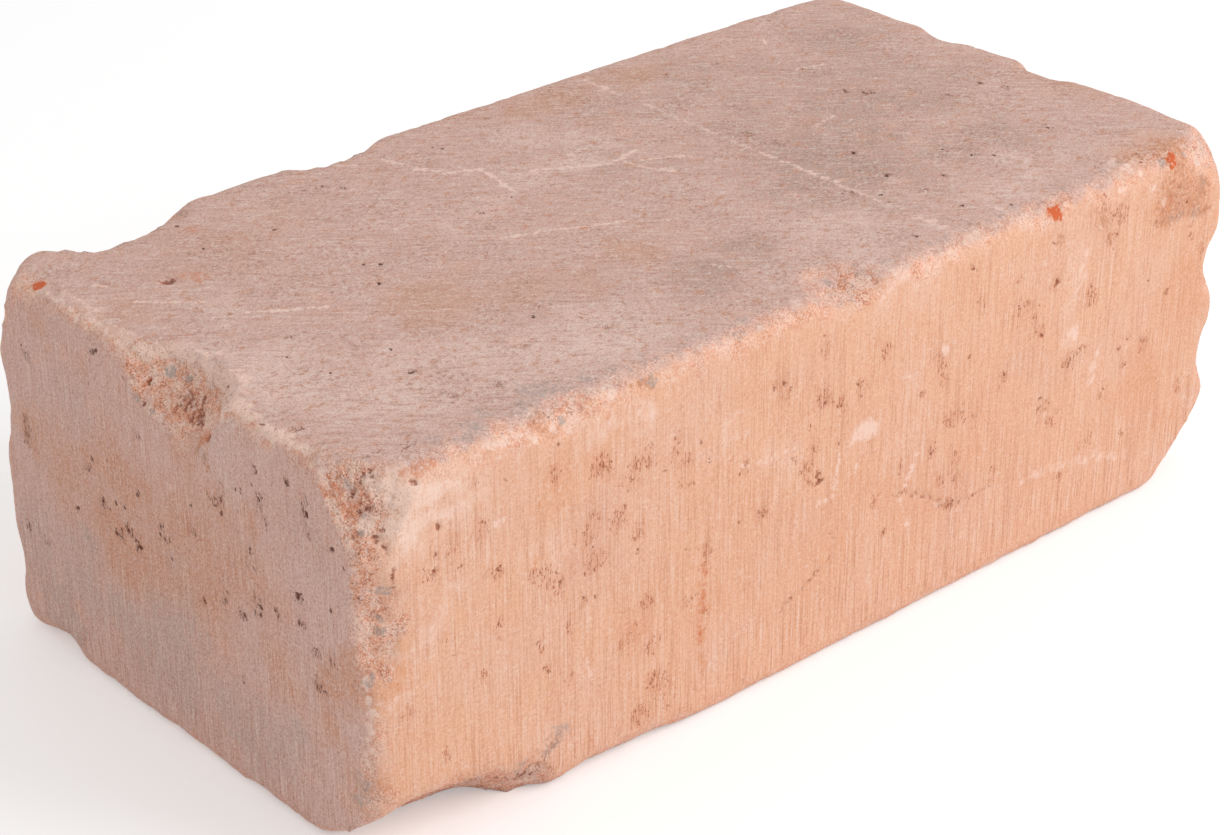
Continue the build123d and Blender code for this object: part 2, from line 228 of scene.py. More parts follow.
# Marks by face as (width, strength, points), in mm
# A point on a face is (across, up), and one on a break (x, y, z)
marks = {
    "tan": [  # warm, sandy parts of the mix, and a darker, browner right end of the front
        ("top", [
            (40, 0.55, (-125, 35), (-85, 40)), (30, 0.7, (-82, -18), (-30, -28)),
            (16, 1, (0, 62), (70, 60)), (24, 0.5, (-100, 50), (-60, 45)), (18, 0.5, (45, 2), (95, 8)),
            (12, 0.6, (58, -18), (80, -12)), (14, 0.5, (10, 45), (25, 42)),
            (10, 0.6, (-82, -20), (-75, -25)),
        ]),
        ("left", [
            (44, 0.9, (42, 54), (10, 54), (-20, 54)), (38, 0.9, (-20, 64), (-35, 60), (-48, 42)),
            (16, 0.8, (62, 61), (56, 60)), (14, 0.7, (48, 88), (36, 88)), (26, 1.2, (-66, 22), (-66, 48)),
            (18, 0.7, (-30, 72), (-12, 80)),
        ]),
        ("front", [
            # the first row makes the front darker and browner towards its right end
            (30, 0.6, (125, 25), (125, 60)), (22, 0.6, (-88, 74), (-86, 84)), (30, 0.4, (30, 35), (60, 28)),
            (12, 0.5, (-70, 35), (-66, 33)), (34, 0.4, (-30, 40), (0, 30)),
            (3, 1, (-47.5, 45), (-47.5, 14)),
        ]),
        ("break", [(26, 0.8, (112, -73, 96), (130, -73, 88))]),
    ],
    "cool": [  # mauve and grey parts
        ("top", [
            (60, 0.9, (10, -8), (35, -16), (60, -14), (85, -2)), (40, 0.6, (45, 22), (85, 16)),
            (34, 0.8, (100, 42), (112, 18), (105, -2)), (20, 0.9, (-18, -48), (0, -46)),
            (30, 0.7, (90, -38), (110, -42)), (24, 0.6, (0, 15), (10, 25)), (30, 0.5, (45, 45), (90, 45)),
        ]),
        ("left", [
            (34, 1, (60, 25), (0, 20), (-45, 22)), (26, 0.45, (-60, 72), (-55, 85)),
            (24, 0.45, (55, 78), (30, 80)), (16, 0.5, (-2, 50), (-8, 40)),
        ]),
        ("front", [
            (20, 0.6, (-90, 60), (-78, 62)), (20, 0.5, (75, 48), (70, 60)), (18, 0.5, (38, 30), (40, 28)),
        ]),
    ],
    "pale": [  # parts that were rubbed light, and painted light on the near corner's break
        ("top", [
            (50, 0.85, (-120, -12), (-108, -42)), (36, 0.8, (-128, -5), (-122, -35)),
            (34, 0.85, (-112, -52), (-70, -55), (-42, -57)), (30, 0.8, (5, -52), (32, -54)),
            (16, 0.8, (0, 48), (15, 32)), (14, 0.8, (-20, 27), (15, 24)), (20, 0.6, (-65, 45), (-60, 30)),
            (16, 0.5, (-48, 22), (-40, 18)), (20, 0.7, (60, -60), (105, -57)),
            (16, 0.5, (-122, 22), (-115, 15)),
        ]),
        ("front", [
            (20, 0.7, (-132, 86), (-118, 88)), (16, 0.6, (-82, 92), (-66, 90)),
            (12, 0.5, (-45, 82), (-38, 73)), (12, 0.6, (-22, 62), (-18, 60)), (9, 0.6, (84, 85), (82, 62)),
            (10, 0.5, (-136, 62), (-128, 55)), (16, 0.5, (10, 92), (30, 94)),
            (10, 0.4, (-96, 52), (-94, 70)),
        ]),
        # the near corner's break made lighter: painted light where it faces away from the lamp
        ("break", [(18, 1.2, (-134, -73, 92), (-137, -73.5, 82))]),
    ],
    "smooth": [  # parts of the breaks that were rubbed smooth again
        ("break", [
            (20, 0.5, (104, -69, 99), (121, -68.5, 99)), (11, 0.9, (-134, -71.5, 94), (-136.5, -73.5, 82)),
        ]),
    ],
    "broken": [  # rough zones round the breaks
        ("break", [
            (26, 1, (-139, -67, 93)), (11, 1, (-141.5, -71.5, 84), (-141.5, -72, 52)),
            (20, 1, (-140, 8, 95), (-141, -7, 92)), (26, 1, (118, -70, 97), (128, -72, 88)),
            (16, 0.9, (-4, -71, 98), (8, -71, 98)), (12, 1, (-108, -71, 6), (-96, -72, 7)),
            (14, 0.9, (-141, -68, 16), (-132, -70, 9)),
        ]),
    ],
    "scuff": [  # pale powder where something hard has rubbed
        ("top", [
            (1.8, 1.4, (-34.5, 60), (-33.5, 56), (-31.5, 49), (-28, 42), (-20, 38), (-20.5, 32), (-22.5, 21)),
            (1.6, 1.4, (-114, 10), (-106, 4), (-97, -1)),
            (1.4, 1.1, (-130, 32), (-126, 27.5), (-117.5, 20.5)), (1.3, 1.2, (-132.5, 46), (-129, 42)),
            (1.4, 1.35, (-44, 2), (-33, -2), (-23, -7), (-14, -11)),
            (1.6, 1.35, (-11, 29), (-1, 23), (6, 19), (11, 19), (18.5, 21)),
            (1.4, 1.2, (14.5, 15), (20, 12.5), (26, 9)), (1.4, 1.1, (11, 18), (12, 11), (16, 4.5)),
            (1.2, 1, (3, 30), (10, 30.5)), (1.2, 1, (-59, 23), (-54, 22.5)),
            (1.2, 1, (-33, -21), (-29.5, -25)), (1.2, 1, (90, 34), (99, 31.5)),
            (1.2, 1, (100.5, 57), (97.5, 53)), (1.2, 0.9, (29, -27), (25.5, -32)),
            (1.3, 0.9, (64, 1), (74, 3)), (1.3, 1, (59.5, -64), (61, -72)), (2.4, 1, (41.5, 68), (41, 52)),
            (2, 0.8, (41.5, 44), (41.5, 20), (41, -4)), (2.6, 1, (41.5, -4), (41.5, -27)),
            (2, 0.85, (41.5, -27), (41.5, -45)), (3, 0.8, (41.5, -45), (42, -69)),
            (1.2, 0.8, (-16, -43), (-9, -53)), (3, 0.7, (-45, 63), (-42, 62)),
        ]),
        ("front", [
            (9, 2.2, (5, 59.5)), (2, 0.8, (-84, 33), (-82, 26)), (2.5, 0.8, (-85, 43), (-83, 42)),
            (4, 0.7, (-80, 90), (-60, 90)), (4, 0.9, (-130, 92.5), (-120, 92)),
            (2.4, 0.8, (-111.5, 78), (-108, 78.5)), (4, 0.9, (-134, 85.5), (-127.5, 87), (-119, 86)),
            (2, 0.8, (-35, 65.5), (-28, 63.5), (-18, 63.5)), (2, 0.7, (-40, 73.5), (-32, 73.5)),
            (2.4, 0.9, (-9.5, 44.5), (-4.5, 45.5)), (1.6, 1.1, (-2, 56), (-3.5, 47)),
            (3.5, 0.6, (-36, 37), (-35, 36)), (3, 0.7, (84, 70), (87.5, 86)),
            (5.5, 0.7, (79, 61.5), (85, 60)), (4.5, 0.7, (94, 50), (93, 44)),
            (2.2, 0.9, (25, 46), (20.5, 33.5)), (2, 0.7, (19.5, 71), (25, 68)),
            (3, 0.9, (33, 73), (35, 72)), (3.6, 0.6, (66, 23), (80, 22), (95, 20), (110, 15)),
            (3, 0.6, (41, 23), (43, 23)), (3, 0.7, (11, 94), (13, 94)), (2.5, 0.7, (23, 27), (24, 27)),
            (2.2, 0.7, (4.5, 52), (4.5, 48)), (6, 0.5, (-137, 56), (-128, 60), (-120, 67)),
            (4.5, 0.55, (-142, 44.5), (-135, 46)),
        ]),
        ("left", [(4, 0.6, (-4, 71), (-3, 70))]),
    ],
    "powderAndPaintedLight": [  # crushed pale grains along the worn arrises, and painted light on the breaks that face away from the lamp
        ("break", [
            (4.5, 1.1, (-134.5, -2, 99), (-135, -7, 98.5), (-135, -12, 98.5)),
            (6, 1.3, (-134, -10.5, 99.5), (-136, -15, 98), (-138.5, -18, 96)),
            (5, 1.2, (-138, -17, 95.5), (-141, -20, 95.5), (-143, -23.5, 97)),
            (7, 1.2, (-137.5, -17, 99), (-141, -24.5, 100), (-143, -31, 99.5)),
            (3.4, 1.1, (-143, -35.5, 99.5), (-143, -42, 99), (-142.5, -52, 99.5)),
            (5, 1.2, (-142, 14.5, 98), (-139.5, 11, 98), (-136, 7.5, 99), (-134.5, 1, 99.5)),
            (6, 0.9, (-140.5, -20, 96), (-142.5, -25, 98)),
            (1.7, 1, (-139, -11, 98), (-137, -20, 98.5), (-139, -29, 99)),
            (1.5, 0.9, (-136.5, -13, 98.5), (-134.5, -20, 99.5)),
            (1.7, 1, (-141, -15, 95), (-141.5, -25, 97.5)), (1.4, 0.9, (-134, -10, 99), (-133, -17, 99.5)),
            (1.6, 1, (-142.5, -20, 94.5), (-142.5, -28, 98)),
            (4, 0.9, (-142, -27, 99.5), (-143, -45, 99.5), (-142, -54, 99.5)),
            (2.6, 1.1, (-143.5, -40, 99)), (3, 0.9, (-134, 0, 100), (-130.5, -3, 100)),
            (2, 1.1, (-135.5, -6.5, 96), (-134, -8, 98)), (5.4, 0.8, (-138, 5.5, 95)),
            # the near corner's break: pale powder, and painted light where it faces away from the lamp
            (5.5, 1.1, (-140.5, -69, 87.5)), (5, 1.1, (-134.5, -68.5, 98.5), (-137, -70, 92.5)),
            (7, 1, (-133.5, -71, 96.5), (-134, -73, 93), (-135.5, -73, 90)),
            (4, 0.9, (-130, -74, 96), (-134, -74.5, 89), (-136, -74, 84)),
            (6, 1.1, (-133.5, -7.5, 99.5), (-135, -13, 98.5), (-138, -22, 100)),
            (2, 0.9, (-143.5, -56.5, 97.5), (-143.5, -60, 95), (-143.5, -62.5, 91)),
            (1.4, 0.9, (-143.5, -62.5, 91), (-144, -65.5, 87), (-144, -68.5, 82.5), (-144, -71, 77)),
            (2.6, 1, (-144.5, -72, 52), (-144.5, -73.5, 40), (-144.5, -71.5, 30)),
            (8, 0.45, (-140.5, 50, 99.5), (-141.5, 30, 99.5)), (7, 0.45, (-142, 26, 99), (-142.5, 15, 99)),
            (1.8, 1, (-141.5, 52, 99.5), (-142.5, 36, 99), (-142, 28, 99.5)),
            (1.5, 0.9, (-139, 48, 100), (-138.5, 33, 100)), (1.5, 1, (-143, 45, 98.5), (-143.5, 30, 98.5)),
            (1.6, 1, (-142, 26, 99), (-143, 15, 98.5)), (1.4, 0.8, (-140, 24, 100), (-139.5, 14, 99.5)),
            (3.4, 1, (112, -75, 93)), (2.6, 0.8, (117, -75, 87.5)), (3, 1, (133.5, -72, 93.5)),
            (3.2, 1, (99.5, -74.5, 96)), (2.6, 1, (108.5, -73.5, 98), (106, -71.5, 99.5)),
            (3, 1, (100, -69, 100), (106, -66.5, 100)), (3, 0.9, (104, -71, 99.5), (110, -69, 100)),
            (4, 0.7, (-91.5, -73.5, 94.5), (-86, -74, 94)),
            (3, 0.8, (-101.5, -74, 96.5), (-97, -74.5, 94.5)), (3.5, 0.8, (-82, -72.5, 96.5)),
            (3.5, 0.8, (-75, -74, 97.5)), (5, 0.9, (-110, -74, 97.5), (-104, -74, 97)),
            (5, 0.5, (-62, -74, 97), (-48, -73, 98.5)), (4, 0.5, (-44, -73.5, 98), (-30, -73.5, 98)),
            (5, 0.6, (-22, -73, 99), (-14, -72, 99)), (4, 0.6, (14, -74, 96.5), (20, -74, 97)),
            (4, 0.5, (34, -73.5, 98), (46, -73.5, 98)), (3, 0.6, (100, -72, 99.5), (110, -70, 99.5)),
        ]),
    ],
    "gritty": [  # parts of the faces where the grains show through the skin
        ("break", [
            (13, 1, (115, -74, 95), (124, -75, 89), (130, -75, 84)),
            (16, 0.6, (112, -70, 99), (124, -71, 97)),
            (10, 1, (120, -75, 84), (128, -75, 81), (134, -75, 82)),
            (9, 0.9, (126, -73.5, 94), (133, -74, 88)),
        ]),
        ("left", [(5, 1, (-13, 86), (-17, 84.5)), (3, 0.9, (-16, 83), (-18, 81))]),
        ("front", [(5, 0.7, (93, 90), (99, 87)), (4, 0.6, (75, 91), (75, 88))]),
        ("break", [(5, 0.7, (-96, -73, 96), (-90, -73.5, 95)), (5, 0.7, (-70, -74, 96), (-64, -74, 96))]),
    ],
    "rust": [  # stains and grains of iron-red grit
        ("front", [(2.4, 0.9, (-46.5, 44), (-47, 33), (-48, 22))]),
        ("break", [
            (4, 2.4, (74.5, -74, 97.5)), (4, 1.6, (120.5, -73.5, 98)),
            (3.8, 2.2, (-141, 55, 99.5), (-139, 55, 100)),
            (2.8, 1.5, (-142.5, 9.5, 92), (-140.5, 8.5, 91.5)), (2.6, 0.9, (-144.5, -25.5, 98)),
            (4, 0.8, (-143.5, -15.5, 87.5)), (12, 0.5, (-140, 0, 91), (-141, -12, 89)),
            (5, 0.6, (-140, 2, 91.5)), (5, 0.6, (-141.5, -66, 90.5)), (4.5, 0.6, (-142.5, -62.5, 93.5)),
            (6, 0.6, (-131, -73, 97.5), (-127, -73.5, 98)), (12, 0.45, (121, -74.5, 89), (129, -74.5, 86)),
        ]),
        ("front", [(1.3, 1.3, (-99, 64), (-99, 62.5))]),
        ("break", [
            (6, 0.55, (-98, -72.5, 97), (-93, -72.5, 96.5)), (5, 0.55, (-86, -71, 97.5), (-83, -72, 97)),
            (4, 0.5, (-78, -75, 93)), (5, 0.45, (-56, -74, 97), (-50, -74, 97.5)),
            (5, 0.45, (6, -70, 98), (14, -71, 98.5)), (5, 0.6, (-141.5, -71.5, 58.5)),
            (4, 0.6, (-144, -73.5, 49.5)),
        ]),
        ("top", [
            (3.8, 2.2, (-118, 36), (-116, 35)), (6, 0.7, (-115, 34.5), (-109, 31)),
            (3, 0.6, (-97, 56.5), (-96, 56)), (1.6, 0.7, (-24.5, -7), (-22.5, -7.5)),
        ]),
    ],
    "grey": [  # cement smears, grey grit and a grey band along the top's front arris
        ("top", [
            # the top's rows: a grey band just behind the front arris
            (9, 0.6, (-118, -68), (-73, -69)), (6, 0.45, (-73, -70), (-20, -71)),
            (5, 0.45, (15, -70), (105, -70)),
        ]),
        ("front", [(7, 0.6, (-101, 12.5), (-96, 14), (-91, 16))]),
        ("left", [(9, 0.4, (36, 40), (34, 38)), (6, 0.4, (-13, 35), (-13, 33))]),
        ("break", [
            (3, 1, (-88.5, -72, 95.5)), (4, 0.7, (-66.5, -74, 97), (-63, -74, 96.5)),
            (4, 0.7, (-1, -66, 98), (3, -66, 97.5)), (4, 0.6, (10, -66.5, 99)), (3.2, 1.1, (-138, 5.5, 95)),
            (2, 1.2, (-137, -0.5, 95)), (2.6, 0.9, (-144, 12, 92.5)), (2.4, 0.7, (-144.5, 9.5, 88.5)),
            (2.4, 0.7, (-144, 4, 86.5)), (1.7, 1.3, (-140, -68.5, 89)), (1.7, 1.3, (-141.5, -69.5, 85.5)),
            (3.5, 0.5, (-141, -63.5, 94.5)), (4, 0.7, (-145, 13, 90)), (5, 0.5, (-145, -16, 84.5)),
            (3, 0.5, (-140.5, -60.5, 99.5)), (3.4, 0.9, (-139, -73.5, 73)), (3.6, 0.8, (-140, -72, 65.5)),
            (3, 0.8, (-140, -72.5, 63)), (4.4, 0.9, (-143.5, -72.5, 51.5), (-142, -73, 51.5)),
            (2.4, 1.5, (118, -72.5, 99), (116.5, -74, 97.5)), (2.2, 1.2, (128, -72, 97)),
            (4, 0.5, (119, -75, 82.5), (125, -75, 80.5)), (5, 0.45, (131, -75, 80)),
            (5, 0.45, (133.5, -75, 88.5)), (8, 0.6, (-145, -70.5, 23), (-145, -67, 18.5)),
        ]),
    ],
    "crackAndShade": [  # dark hairlines and holes, with painted shade in the hollows of the breaks
        ("front", [
            (2, 0.5, (-20, 21), (-14.5, 22.5), (-9, 25), (-4, 27.5), (-2.5, 35)),
            (2, 0.55, (18, 37), (22, 37), (30, 32.5), (37.5, 26.5), (47, 25.5), (55, 26.5)),
            (3.2, 0.5, (36, 28), (41, 26)),
        ]),
        ("left", [(0.6, 0.5, (-52, 50.5), (-72, 50.5))]),
        ("front", [(1.3, 1, (-138, 78.5), (-138, 71))]),
        ("break", [
            (1.8, 1.2, (-139.5, -65, 94.5), (-140.5, -65.5, 92.5)),
            (1, 1, (-139, -65, 96), (-137, -66, 97.5), (-136, -66.5, 98.5)),
            (3, 0.5, (-137, -64.5, 100), (-131.5, -64, 100)),
            (4.5, 0.5, (-139.5, -65.5, 95), (-140.5, -66, 91.5)), (1.7, 1.1, (-140.5, -67.5, 90)),
            (1.7, 1.1, (-139, -69, 90.5)), (1.4, 0.9, (-137.5, -69, 93.5)), (1.4, 0.9, (-136.5, -67, 96.5)),
            (1.4, 0.9, (-138.5, -72.5, 87)), (1.8, 1.1, (-140, -72, 85)),
            (1.6, 0.9, (-140, -73.5, 82.5), (-138, -74.5, 83)), (1.8, 1, (-130.5, -74, 96)),
            (2.2, 0.8, (-141, -1, 89), (-140, -4.5, 90), (-138.5, -7.5, 91)),
            (2.2, 0.9, (-137.5, -6.5, 92.5), (-139, -8.5, 90), (-141.5, -11, 88.5)),
            # a wide soft dark patch in the left chip: painted shadow where its relief is deep
            (9, 0.5, (-140, -3, 90.5), (-140.5, -9.5, 89.5)), (5, 0.6, (-139, -7, 91), (-140.5, -10, 89)),
            (3, 0.8, (-141, -6.5, 88)), (1.6, 1.2, (-141.5, 9, 91.5)), (1.6, 1.1, (-144, 7.5, 87.5)),
            (2.6, 1, (-143, -17, 88)), (1.6, 0.8, (-145, 14.5, 92)), (1.6, 1, (-136, -14.5, 97.5)),
            (1.3, 0.9, (-145, -71, 77), (-144, -70, 71)),
        ]),
        ("front", [(5.5, 0.45, (-101, 12.5), (-96, 14), (-91, 16))]),
        ("break", [
            (7, 0.6, (-103, -72, 9), (-97, -74, 8.5)),
            (2.4, 0.9, (-107, -71, 8), (-104, -72, 9.5), (-98, -73.5, 9.5)),
        ]),
        ("top", [
            (2.6, 1.7, (-118.5, 36), (-116.5, 35.5)),
            (0.9, 1, (-141, -45.5), (-139.5, -44.5), (-138, -45.5)),
            (0.9, 0.9, (-128.5, -67), (-126.5, -66.5), (-125, -64.5)),
        ]),
        ("break", [
            (1.6, 1, (-143, -36.5, 99.5)), (1, 0.9, (114.5, -66, 100), (111, -71.5, 99.5)),
            (0.9, 0.8, (98, -66, 100), (104, -65.5, 100)), (1.2, 0.9, (123, -75, 90)),
            (1.2, 0.9, (127, -75, 84.5)),
        ]),
        ("front", [(1, 1, (-110, 65.5), (-109, 67.5)), (0.8, 0.8, (-12.5, 68), (-13.5, 65))]),
    ],
}

tones = ("tan", "cool", "pale")
paintLayers = (
    *marks, "pitting", "hole", "side", "end", "bed", "worn", "dragged", "flaky", "blotch", "mottle", "ash",
)


def smoothStep(low, high, value):
    share = min(1.0, max(0.0, (value - low) / (high - low)))
    return share * share * (3 - 2 * share)


def wave(name, point):
    # each octave is half as large as the last
    size, fade, octaves, offset = block["waves"][name]
    return noise.fractal(point / (size * mm) + Vector(offset), fade, 2.0, octaves)


def border(name, depth, shift=0.0):
    bare, full, sway = block["borders"][name]
    return smoothStep(bare * mm, full * mm, depth + sway * shift)


def faceDistances(point):
    return [half - abs(place) for half, place in zip(boxHalf, point - boxCentre)]  # to the moulded faces


def onFace(face, place):
    # a point of the block, from its coordinates in mm
    if face == "break":
        return Vector(place) * mm
    across, up = place[0] * mm, place[1] * mm
    if face in ("front", "back"):
        return Vector((across, boxLow.y if face == "front" else boxHigh.y, up))
    if face in ("left", "right"):
        return Vector((boxLow.x if face == "left" else boxHigh.x, across, up))
    return Vector((across, up, boxHigh.z if face == "top" else boxLow.z))


def hiddenSpot(chance, face, reach):
    wide = (boxHalf.y if face == "right" else boxHalf.x) / mm
    tall = (boxHalf.y if face == "bottom" else boxHalf.z) / mm
    middle = 0.0 if face == "bottom" else tall
    across = chance.uniform(-reach[0], reach[0]) * wide
    return across, middle + chance.uniform(-reach[1], reach[1]) * tall


def hiddenMarks(chance):
    # the faces that the photograph doesn't show get marks of the same kind
    hidden = block["hidden"]
    for face in ("back", "right", "bottom"):
        for table, (count, reach, sizes) in ((pitClusters, hidden["clusters"]), (pits, hidden["pits"])):
            table[face] = []
            for number in range(count):
                table[face].append((*hiddenSpot(chance, face, reach), chance.uniform(*sizes)))
        count, reach, widths, strengths = hidden["scuffs"]
        for number in range(count):
            across, up = hiddenSpot(chance, face, reach)
            run = Vector((chance.gauss(0, hidden["scuffRun"][0]), chance.gauss(0, hidden["scuffRun"][1])))
            ends = (across, up), (across + run.x, up + run.y)
            marks["scuff"].append((face, [(chance.uniform(*widths), chance.uniform(*strengths), *ends)]))
        count, reach, widths, strengths = hidden["tones"]
        for number in range(count):
            spot = hiddenSpot(chance, face, reach)
            tone = marks[tones[number % len(tones)]]
            tone.append((face, [(chance.uniform(*widths), chance.uniform(*strengths), spot)]))


def strokeDabs(chance, layer, face, width, strength, points):
    places = [onFace(face, point) for point in points]
    sunk = layer == "crackAndShade" and width < block["crackWidth"]
    depth = block["crackDepth"] * width * mm if sunk else 0.0
    spread = block["stray"] * width * mm
    if len(places) == 1:
        places = places * 2
        spread = block["spotStray"] * width * mm
    dabs = []
    for start, end in zip(places, places[1:]):
        steps = math.ceil((end - start).length / (block["dabStep"] * width * mm))
        steps = max(block["leastSteps"], steps)
        for step in range(steps + 1):
            stray = Vector(chance.gauss(0, spread) for axis in range(3))
            radius = width / 2 * mm * chance.uniform(*block["dabRadius"])
            level = strength * chance.uniform(*block["dabLevel"])
            dabs.append((layer, start.lerp(end, step / steps) + stray, radius, level, depth))
    return dabs


def makeDabs():
    # every mark becomes a row of dabs: layer, place, radius, strength and depth
    chance = random.Random(block["seed"])
    hiddenMarks(chance)
    dabs = []
    for layer, groups in marks.items():
        for face, rows in groups:
            for width, strength, *points in rows:
                dabs += strokeDabs(chance, layer, face, width, strength, points)
    for face, clusters in pitClusters.items():
        for across, up, spread in clusters:
            for number in range(block["clusterDabs"]):
                stray = [chance.gauss(0, share * spread) for share in block["clusterStray"]]
                spot = (across + stray[0], up + stray[1])
                radius = (chance.uniform(*block["clusterRadius"]) * spread + block["clusterRim"]) * mm
                level = chance.uniform(*block["clusterLevel"])
                dabs.append(("pitting", onFace(face, spot), radius, level, 0.0))
    for face, spots in pits.items():
        for across, up, width in spots:
            spot = Vector((across, up))
            depth = block["pitDepth"] * width * mm
            for number in range(block["pitDabs"]):
                radius = width * chance.uniform(*block["pitRadius"]) * mm
                level = chance.uniform(*block["pitLevel"])
                dabs.append(("hole", onFace(face, spot), radius, level, depth))
                spot += Vector([chance.gauss(0, share) for share in block["pitStray"]]) * width
    return dabs


def treeOf(places):
    tree = KDTree(len(places))
    for number, place in enumerate(places):
        tree.insert(place, number)
    tree.balance()
    return tree


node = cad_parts["wall_block"].data
solid = BVHTree.FromPolygons([v.co for v in node.vertices], [p.vertices for p in node.polygons])
coreInset = Vector((block["coreInset"] * mm,) * 3)
coreLow, coreHigh = boxLow + coreInset, boxHigh - coreInset


def inward(point):
    core = Vector(min(max(p, low), high) for p, low, high in zip(point, coreLow, coreHigh))
    return (core - point).normalized()


def onSolid(point):
    way = inward(point)
    hit = solid.ray_cast(point - way * mm, way)[0]
    return hit if hit else point


def onArris(point):
    return sorted(faceDistances(point))[1] < block["arrisBand"] * mm


def cutGrid(bm):
    for axis in range(3):  # the edges along each axis in turn
        along = [e for e in bm.edges if abs((e.verts[1].co - e.verts[0].co).normalized()[axis]) > 0.9]
        cuts = round(2 * boxHalf[axis] / (block["gridPitch"] * mm)) - 1
        bmesh.ops.subdivide_edges(bm, edges=along, cuts=cuts, use_grid_fill=True)


def refine(bm, wanted):
    edges = {edge for face in bm.faces if wanted(face.calc_center_median()) for edge in face.edges}
    bmesh.ops.subdivide_edges(bm, edges=list(edges), cuts=1, use_grid_fill=True)


def roundArrises(bm):
    band = []
    for vert in bm.verts:
        vert.co = onSolid(vert.co)
        if onArris(vert.co) or min(faceDistances(vert.co)) > block["offFace"] * mm:
            band.append(vert)
    for step in range(block["roundPasses"]):
        bmesh.ops.smooth_vert(bm, verts=band, factor=block["roundFactor"], use_axis_x=True, use_axis_y=True,
                              use_axis_z=True)


def makeGrid(dabs):
    fineMarks = treeOf([dab[1] for dab in dabs if dab[2] < block["fineRadius"] * mm])
    clusters = treeOf([dab[1] for dab in dabs if dab[0] == "pitting"])
    coarse, fine = block["markMargins"]

    def near(tree, point, margin):
        return tree.find(onSolid(point))[2] < margin * mm

    def nearRelief(point):
        if onArris(point) or (onSolid(point) - point).length > block["offFace"] * mm:
            return True
        return near(fineMarks, point, coarse)

    def inBreak(point):
        return min(faceDistances(point)) > block["breakDepth"] * mm

    bm = bmesh.new()
    size = Matrix.Diagonal((*(2 * boxHalf), 1))
    bmesh.ops.create_cube(bm, size=1, matrix=Matrix.Translation(boxCentre) @ size)
    cutGrid(bm)
    refine(bm, lambda point: nearRelief(point) or near(clusters, point, block["clusterMargin"]))
    refine(bm, nearRelief)
    roundArrises(bm)
    refine(bm, lambda point: near(fineMarks, point, fine) or inBreak(point))
    bm.verts.index_update()
    print("grid set on the solid,", len(bm.verts), "vertices")
    return bm


def layDabs(bm, layers, dabs):
    # paints the marks and gives how deep they sink each vertex
    verts = treeOf([vert.co for vert in bm.verts])
    ragged, ragShare, ragSize = block["rags"]
    sunk = [0.0] * len(bm.verts)
    for name, place, radius, strength, depth in dabs:
        for spot, index, gap in verts.find_range(place, radius * block["dabReach"]):
            gap *= 1 + ragged * noise.noise(spot / (ragShare * radius + ragSize * mm))
            share = strength * smoothStep(radius, block["dabCore"] * radius, gap)
            vert = bm.verts[index]
            vert[layers[name]] = max(vert[layers[name]], share)
            sunk[index] = max(sunk[index], depth * share)
    return sunk


def paintVertex(vert, layers):
    # kinds of face, wear and noise; gives how much the vertex belongs to a break
    point = vert.co
    spans = block["spans"]
    apart = faceDistances(point)
    depth = min(apart)
    shift = wave("shift", point) * mm
    patches = wave("patches", point)
    rough = 1 - vert[layers["smooth"]]

    bed = border("bed", apart[2] - min(apart[:2]), shift) * rough
    end = border("end", apart[0] - min(apart[1:]), shift)
    vert[layers["bed"]] = bed
    vert[layers["end"]] = (1 - bed) * end
    vert[layers["side"]] = (1 - bed) * (1 - end)

    zone = smoothStep(*spans["zone"], vert[layers["broken"]] + block["zoneSway"] * shift / mm)
    broken = max(border("deepBreak", depth, shift), zone * border("markedBreak", depth, shift)) * rough
    vert[layers["broken"]] = broken
    vert[layers["powderAndPaintedLight"]] *= border("powderAndPaintedLight", apart[0], shift)

    least, patchy = block["wornShares"]
    worn = border("worn", depth, shift) * rough
    vert[layers["worn"]] = worn * (least + patchy * smoothStep(*spans["worn"], patches))
    least, patchy, low = block["draggedShares"]
    dragged = least + patchy * smoothStep(*spans["dragged"], patches) + low * border("low", point.z)
    vert[layers["dragged"]] = (1 - bed) * dragged
    least, patchy = block["flakyShares"]
    vert[layers["flaky"]] = bed * (least + patchy * smoothStep(*spans["flaky"], wave("flaky", point)))
    for name in ("blotch", "mottle", "ash"):
        vert[layers[name]] = smoothStep(*spans[name], wave(name, point))
    return broken


def sinkVertex(vert, layers, broken, markDepth):
    # lumps, grains and crevices in the breaks, nibbled arrises and the marks
    point = vert.co.copy()
    spans = block["spans"]
    distances = sorted(faceDistances(point))
    relief = border("relief", distances[0])
    crevice = broken * smoothStep(*spans["crevice"], abs(wave("crevice", point)))
    crevice *= smoothStep(*spans["creviced"], wave("patches", point))
    # the crevices also darken the crack layer: painted shade inside them
    vert[layers["crackAndShade"]] = max(vert[layers["crackAndShade"]], block["creviceShade"] * crevice)
    depth = block["creviceDepth"] * crevice * mm
    grains = noise.voronoi(point / (block["grainSize"] * mm))[0][0] - block["grainMiddle"]
    for name, form in (("lumpDepth", wave("lumps", point)), ("grainDepth", grains)):
        onWear, inBreak = block[name]
        depth += (relief * onWear + broken * (inBreak - onWear)) * form * mm
    bites = max(0.0, wave("nibbles", point) - block["nibbleBare"])
    depth += block["nibbleDepth"] * mm * border("nibbles", distances[1]) * bites
    depth += markDepth
    depth = max(depth, block["outermost"] * distances[0])  # stays inside the moulded faces
    vert.co = point + inward(point) * depth


